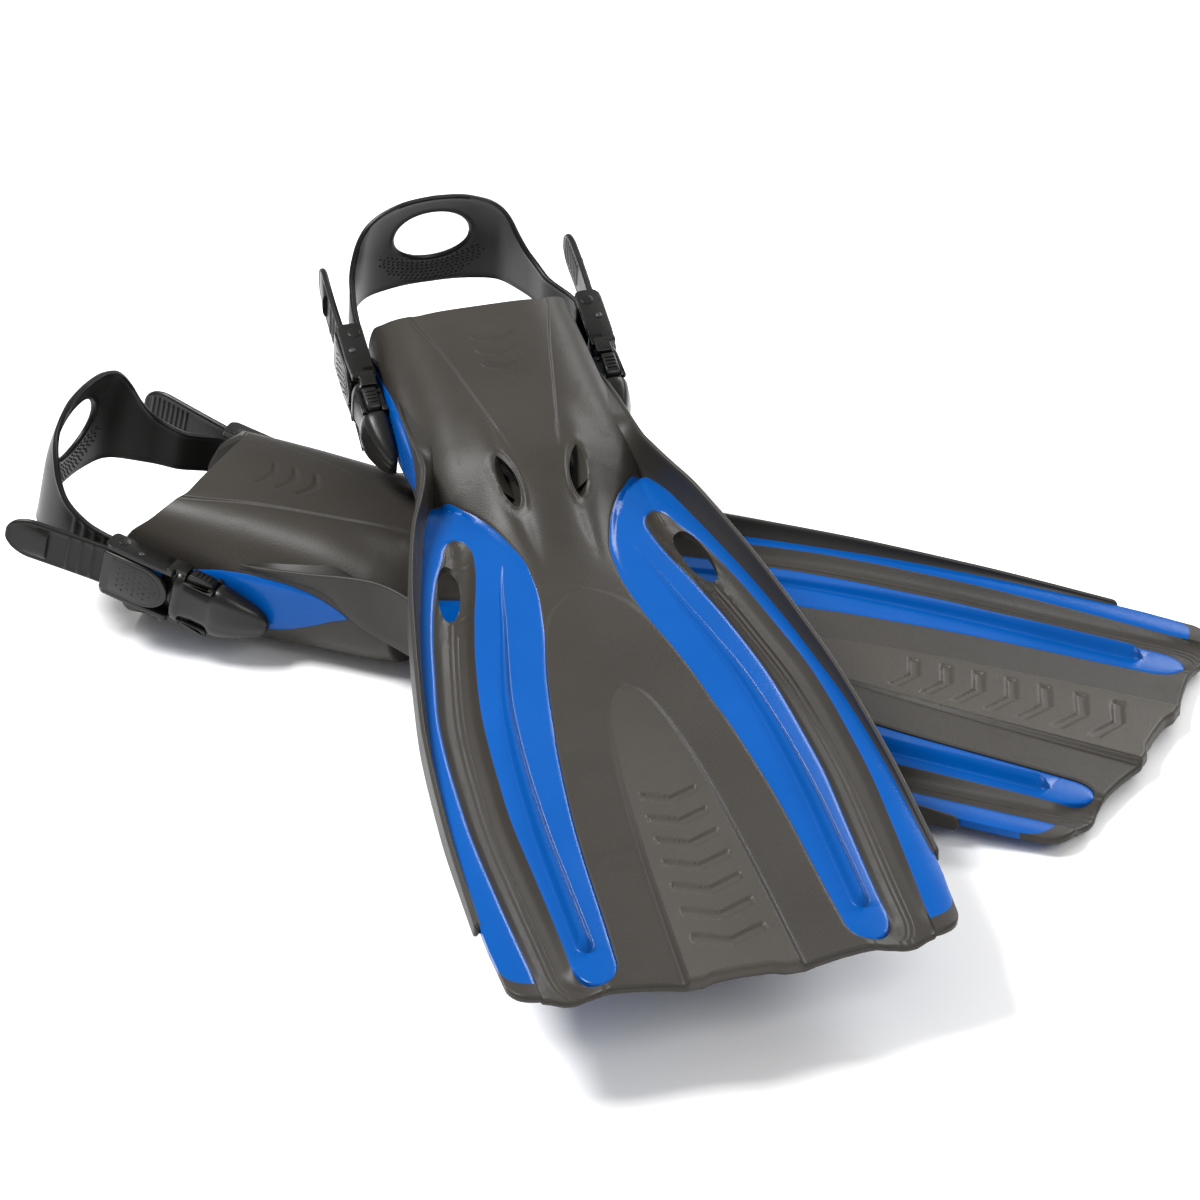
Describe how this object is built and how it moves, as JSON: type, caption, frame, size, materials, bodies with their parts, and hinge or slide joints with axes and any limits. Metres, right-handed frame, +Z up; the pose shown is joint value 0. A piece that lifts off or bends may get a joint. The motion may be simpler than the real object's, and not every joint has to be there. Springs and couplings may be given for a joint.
{
  "type": "swim fins",
  "caption": "Crossed pair of open-heel swim fins with channelled paddle blades, roomy foot pockets and rubber heel straps on quick-release buckles.",
  "frame": {"origin": "centre of the footprint's bounding box on the floor under the two fins", "axes": "+X along the lower fin from heel to tip, +Y towards the lower fin's left side, +Z up from the floor"},
  "size_m": [0.599, 0.5484, 0.1831],
  "materials": {
    "grey_rubber": "matte moulded elastomer with a fine grain, warm dark grey",
    "blue_plastic": "satin-gloss moulded polymer, bright blue",
    "dark_rail": "satin dark grey moulded rail",
    "strap_rubber": "smooth black rubber with ribs and studs",
    "black_plastic": "satin-gloss black injection moulding",
    "pin_steel": "dark stainless pin ends"
  },
  "bodies": {
    "lower_fin": {"lower_body": "grey_rubber", "lower_panel_right": "blue_plastic", "lower_panel_left": "blue_plastic", "lower_rail_right": "dark_rail", "lower_rail_left": "dark_rail"},
    "lower_receivers": {"lower_receiver_right": "black_plastic", "lower_receiver_left": "black_plastic"},
    "lower_strap_unit": {"lower_strap": "strap_rubber", "lower_frame_right": "black_plastic", "lower_frame_left": "black_plastic", "lower_bar_right": "black_plastic", "lower_bar_left": "black_plastic", "lower_lever_pin_right": "pin_steel", "lower_lever_pin_left": "pin_steel"},
    "lower_lever_right": {"lower_lever_right": "black_plastic"},
    "lower_tab_top_right": {"lower_tab_top_right": "black_plastic"},
    "lower_tab_bottom_right": {"lower_tab_bottom_right": "black_plastic"},
    "lower_lever_left": {"lower_lever_left": "black_plastic"},
    "lower_tab_top_left": {"lower_tab_top_left": "black_plastic"},
    "lower_tab_bottom_left": {"lower_tab_bottom_left": "black_plastic"},
    "upper_fin": {"upper_body": "grey_rubber", "upper_panel_right": "blue_plastic", "upper_panel_left": "blue_plastic", "upper_rail_right": "dark_rail", "upper_rail_left": "dark_rail"},
    "upper_receivers": {"upper_receiver_right": "black_plastic", "upper_receiver_left": "black_plastic"},
    "upper_strap_unit": {"upper_strap": "strap_rubber", "upper_frame_right": "black_plastic", "upper_frame_left": "black_plastic", "upper_bar_right": "black_plastic", "upper_bar_left": "black_plastic", "upper_lever_pin_right": "pin_steel", "upper_lever_pin_left": "pin_steel"},
    "upper_lever_right": {"upper_lever_right": "black_plastic"},
    "upper_tab_top_right": {"upper_tab_top_right": "black_plastic"},
    "upper_tab_bottom_right": {"upper_tab_bottom_right": "black_plastic"},
    "upper_lever_left": {"upper_lever_left": "black_plastic"},
    "upper_tab_top_left": {"upper_tab_top_left": "black_plastic"},
    "upper_tab_bottom_left": {"upper_tab_bottom_left": "black_plastic"}
  },
  "joints": [
    {"name": "upper_fin_lift_off", "type": "slide", "parent": "lower_fin", "child": "upper_fin", "axis": [0, 0, 1], "range_m": [0, 0.3]},
    {"name": "lower_strap_swing", "type": "hinge", "parent": "lower_fin", "child": "lower_receivers", "pos_m": [-0.17054, 0.08553, 0.02877], "axis": [0, 1, 0], "range_deg": [-8, 45]},
    {"name": "lower_quick_release", "type": "slide", "parent": "lower_receivers", "child": "lower_strap_unit", "axis": [-0.957, 0, 0.29], "range_m": [0, 0.03]},
    {"name": "lower_lever_press_right", "type": "hinge", "parent": "lower_strap_unit", "child": "lower_lever_right", "pos_m": [-0.22222, 0.02103, 0.04443], "axis": [0.29, 0, 0.957], "range_deg": [0, 8], "stiffness_Nm_per_rad": 0.05, "springref_deg": -5.73},
    {"name": "lower_tab_squeeze_top_right", "type": "slide", "parent": "lower_strap_unit", "child": "lower_tab_top_right", "axis": [-0.29, 0, -0.957], "range_m": [0, 0.002], "stiffness_N_per_m": 800, "springref_m": -0.0005},
    {"name": "lower_tab_squeeze_bottom_right", "type": "slide", "parent": "lower_strap_unit", "child": "lower_tab_bottom_right", "axis": [0.29, 0, 0.957], "range_m": [0, 0.002], "stiffness_N_per_m": 800, "springref_m": -0.0005},
    {"name": "lower_lever_press_left", "type": "hinge", "parent": "lower_strap_unit", "child": "lower_lever_left", "pos_m": [-0.22222, 0.15003, 0.04443], "axis": [-0.29, 0, -0.957], "range_deg": [0, 8], "stiffness_Nm_per_rad": 0.05, "springref_deg": -5.73},
    {"name": "lower_tab_squeeze_top_left", "type": "slide", "parent": "lower_strap_unit", "child": "lower_tab_top_left", "axis": [-0.29, 0, -0.957], "range_m": [0, 0.002], "stiffness_N_per_m": 800, "springref_m": -0.0005},
    {"name": "lower_tab_squeeze_bottom_left", "type": "slide", "parent": "lower_strap_unit", "child": "lower_tab_bottom_left", "axis": [0.29, 0, 0.957], "range_m": [0, 0.002], "stiffness_N_per_m": 800, "springref_m": -0.0005},
    {"name": "upper_strap_swing", "type": "hinge", "parent": "upper_fin", "child": "upper_receivers", "pos_m": [-0.07209, 0.13997, 0.09222], "axis": [0.7774, 0.6278, -0.0398], "range_deg": [-8, 45]},
    {"name": "upper_quick_release", "type": "slide", "parent": "upper_receivers", "child": "upper_strap_unit", "axis": [-0.5824, 0.7422, 0.3314], "range_m": [0, 0.03]},
    {"name": "upper_lever_press_right", "type": "hinge", "parent": "upper_strap_unit", "child": "upper_lever_right", "pos_m": [-0.15368, 0.13956, 0.11268], "axis": [0.2376, -0.2344, 0.9426], "range_deg": [0, 8], "stiffness_Nm_per_rad": 0.05, "springref_deg": -5.73},
    {"name": "upper_tab_squeeze_top_right", "type": "slide", "parent": "upper_strap_unit", "child": "upper_tab_top_right", "axis": [-0.2376, 0.2344, -0.9426], "range_m": [0, 0.002], "stiffness_N_per_m": 800, "springref_m": -0.0005},
    {"name": "upper_tab_squeeze_bottom_right", "type": "slide", "parent": "upper_strap_unit", "child": "upper_tab_bottom_right", "axis": [0.2376, -0.2344, 0.9426], "range_m": [0, 0.002], "stiffness_N_per_m": 800, "springref_m": -0.0005},
    {"name": "upper_lever_press_left", "type": "hinge", "parent": "upper_strap_unit", "child": "upper_lever_left", "pos_m": [-0.0534, 0.22054, 0.10754], "axis": [-0.2376, 0.2344, -0.9426], "range_deg": [0, 8], "stiffness_Nm_per_rad": 0.05, "springref_deg": -5.73},
    {"name": "upper_tab_squeeze_top_left", "type": "slide", "parent": "upper_strap_unit", "child": "upper_tab_top_left", "axis": [-0.2376, 0.2344, -0.9426], "range_m": [0, 0.002], "stiffness_N_per_m": 800, "springref_m": -0.0005},
    {"name": "upper_tab_squeeze_bottom_left", "type": "slide", "parent": "upper_strap_unit", "child": "upper_tab_bottom_left", "axis": [0.2376, -0.2344, 0.9426], "range_m": [0, 0.002], "stiffness_N_per_m": 800, "springref_m": -0.0005}
  ]
}
